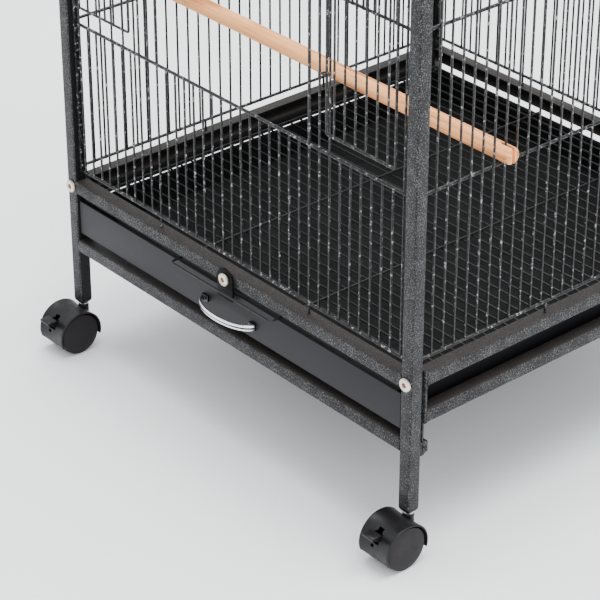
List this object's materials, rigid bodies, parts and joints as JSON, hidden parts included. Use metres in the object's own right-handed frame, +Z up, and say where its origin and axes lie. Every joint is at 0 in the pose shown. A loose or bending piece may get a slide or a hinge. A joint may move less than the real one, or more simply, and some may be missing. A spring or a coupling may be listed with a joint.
{
  "type": "bird cage on stand",
  "caption": "Floor-standing square wire bird cage on swivel casters, with sliding doors, a wooden perch, a pull-out litter drawer and a wire floor grate",
  "frame": {"origin": "on the floor, below the middle of the cage", "axes": "+X to the right along the drawer front, +Y to the back, +Z up"},
  "size_m": [0.5878, 0.656, 1.26],
  "materials": {
    "hammered_paint": "dark grey silver-vein hammertone powder coat, semi-gloss",
    "black_wire": "near-black powder coat on round wire, semi-gloss",
    "charcoal_paint": "smooth satin charcoal powder coat on folded sheet",
    "chrome": "bright chrome plate",
    "nickel_screw": "pale warm nickel plate",
    "zinc_steel": "zinc plated steel",
    "black_plastic": "moulded black nylon, satin",
    "pine": "bare sanded pine"
  },
  "bodies": {
    "cage": {"post_front_left": "hammered_paint", "post_plug_front_left": "black_plastic", "post_bolt_front_left": "nickel_screw", "post_front_right": "hammered_paint", "post_plug_front_right": "black_plastic", "post_bolt_front_right": "nickel_screw", "post_rear_left": "hammered_paint", "post_plug_rear_left": "black_plastic", "post_bolt_rear_left": "nickel_screw", "post_rear_right": "hammered_paint", "post_plug_rear_right": "black_plastic", "post_bolt_rear_right": "nickel_screw", "front_upper_rail": "hammered_paint", "front_lower_rail": "hammered_paint", "rear_upper_rail": "hammered_paint", "rear_lower_rail": "hammered_paint", "side_frame_left": "hammered_paint", "side_frame_right": "hammered_paint", "top_panel": "hammered_paint", "front_panel": "black_wire", "right_panel": "black_wire", "rear_panel": "black_wire", "left_panel": "black_wire", "perch": "pine", "latch_screw": "nickel_screw", "caster_front_left_stem": "zinc_steel", "caster_front_right_stem": "zinc_steel", "caster_rear_left_stem": "zinc_steel", "caster_rear_right_stem": "zinc_steel"},
    "drawer": {"drawer_tray": "charcoal_paint", "drawer_handle": "chrome", "handle_screw_left": "zinc_steel", "handle_screw_right": "zinc_steel"},
    "grate": {"floor_grate": "black_wire"},
    "latch": {"latch_plate": "charcoal_paint"},
    "main_door": {"main_door": "black_wire"},
    "feeder_left": {"feeder_door_left": "black_wire"},
    "feeder_right": {"feeder_door_right": "black_wire"},
    "caster_front_left": {"caster_front_left_hood": "black_plastic"},
    "wheels_front_left": {"caster_front_left_axle": "zinc_steel", "caster_front_left_wheel_left": "black_plastic", "caster_front_left_wheel_right": "black_plastic"},
    "brake_front_left": {"caster_front_left_brake_lever": "black_plastic"},
    "caster_front_right": {"caster_front_right_hood": "black_plastic"},
    "wheels_front_right": {"caster_front_right_axle": "zinc_steel", "caster_front_right_wheel_left": "black_plastic", "caster_front_right_wheel_right": "black_plastic"},
    "brake_front_right": {"caster_front_right_brake_lever": "black_plastic"},
    "caster_rear_left": {"caster_rear_left_hood": "black_plastic"},
    "wheels_rear_left": {"caster_rear_left_axle": "zinc_steel", "caster_rear_left_wheel_left": "black_plastic", "caster_rear_left_wheel_right": "black_plastic"},
    "brake_rear_left": {"caster_rear_left_brake_lever": "black_plastic"},
    "caster_rear_right": {"caster_rear_right_hood": "black_plastic"},
    "wheels_rear_right": {"caster_rear_right_axle": "zinc_steel", "caster_rear_right_wheel_left": "black_plastic", "caster_rear_right_wheel_right": "black_plastic"},
    "brake_rear_right": {"caster_rear_right_brake_lever": "black_plastic"}
  },
  "joints": [
    {"name": "drawer_slide", "type": "slide", "parent": "cage", "child": "drawer", "axis": [0, -1, 0], "range_m": [0, 0.42]},
    {"name": "grate_slide", "type": "slide", "parent": "cage", "child": "grate", "axis": [0, -1, 0], "range_m": [0, 0.36]},
    {"name": "latch_turn", "type": "hinge", "parent": "cage", "child": "latch", "pos_m": [0, -0.2828, 0.2035], "axis": [0, 1, 0], "range_deg": [-90, 90]},
    {"name": "main_door_slide", "type": "slide", "parent": "cage", "child": "main_door", "axis": [0, 0, -1], "range_m": [0, 0.334]},
    {"name": "feeder_left_slide", "type": "slide", "parent": "cage", "child": "feeder_left", "axis": [0, 0, 1], "range_m": [-0.019, 0.11]},
    {"name": "feeder_right_slide", "type": "slide", "parent": "cage", "child": "feeder_right", "axis": [0, 0, 1], "range_m": [-0.019, 0.11]},
    {"name": "swivel_front_left", "type": "hinge", "parent": "cage", "child": "caster_front_left", "pos_m": [-0.2725, -0.2725, 0.05], "axis": [0, 0, 1], "continuous": true},
    {"name": "roll_front_left", "type": "hinge", "parent": "caster_front_left", "child": "wheels_front_left", "pos_m": [-0.2725, -0.2925, 0.025], "axis": [1, 0, 0], "continuous": true},
    {"name": "brake_front_left_turn", "type": "hinge", "parent": "caster_front_left", "child": "brake_front_left", "pos_m": [-0.2725, -0.3085, 0.037], "axis": [-1, 0, 0], "range_deg": [-8, 8]},
    {"name": "swivel_front_right", "type": "hinge", "parent": "cage", "child": "caster_front_right", "pos_m": [0.2725, -0.2725, 0.05], "axis": [0, 0, 1], "continuous": true},
    {"name": "roll_front_right", "type": "hinge", "parent": "caster_front_right", "child": "wheels_front_right", "pos_m": [0.2725, -0.2925, 0.025], "axis": [1, 0, 0], "continuous": true},
    {"name": "brake_front_right_turn", "type": "hinge", "parent": "caster_front_right", "child": "brake_front_right", "pos_m": [0.2725, -0.3085, 0.037], "axis": [-1, 0, 0], "range_deg": [-8, 8]},
    {"name": "swivel_rear_left", "type": "hinge", "parent": "cage", "child": "caster_rear_left", "pos_m": [-0.2725, 0.2725, 0.05], "axis": [0, 0, 1], "continuous": true},
    {"name": "roll_rear_left", "type": "hinge", "parent": "caster_rear_left", "child": "wheels_rear_left", "pos_m": [-0.2725, 0.2925, 0.025], "axis": [1, 0, 0], "continuous": true},
    {"name": "brake_rear_left_turn", "type": "hinge", "parent": "caster_rear_left", "child": "brake_rear_left", "pos_m": [-0.2725, 0.3085, 0.037], "axis": [1, 0, 0], "range_deg": [-8, 8]},
    {"name": "swivel_rear_right", "type": "hinge", "parent": "cage", "child": "caster_rear_right", "pos_m": [0.2725, 0.2725, 0.05], "axis": [0, 0, 1], "continuous": true},
    {"name": "roll_rear_right", "type": "hinge", "parent": "caster_rear_right", "child": "wheels_rear_right", "pos_m": [0.2725, 0.2925, 0.025], "axis": [1, 0, 0], "continuous": true},
    {"name": "brake_rear_right_turn", "type": "hinge", "parent": "caster_rear_right", "child": "brake_rear_right", "pos_m": [0.2725, 0.3085, 0.037], "axis": [1, 0, 0], "range_deg": [-8, 8]}
  ]
}
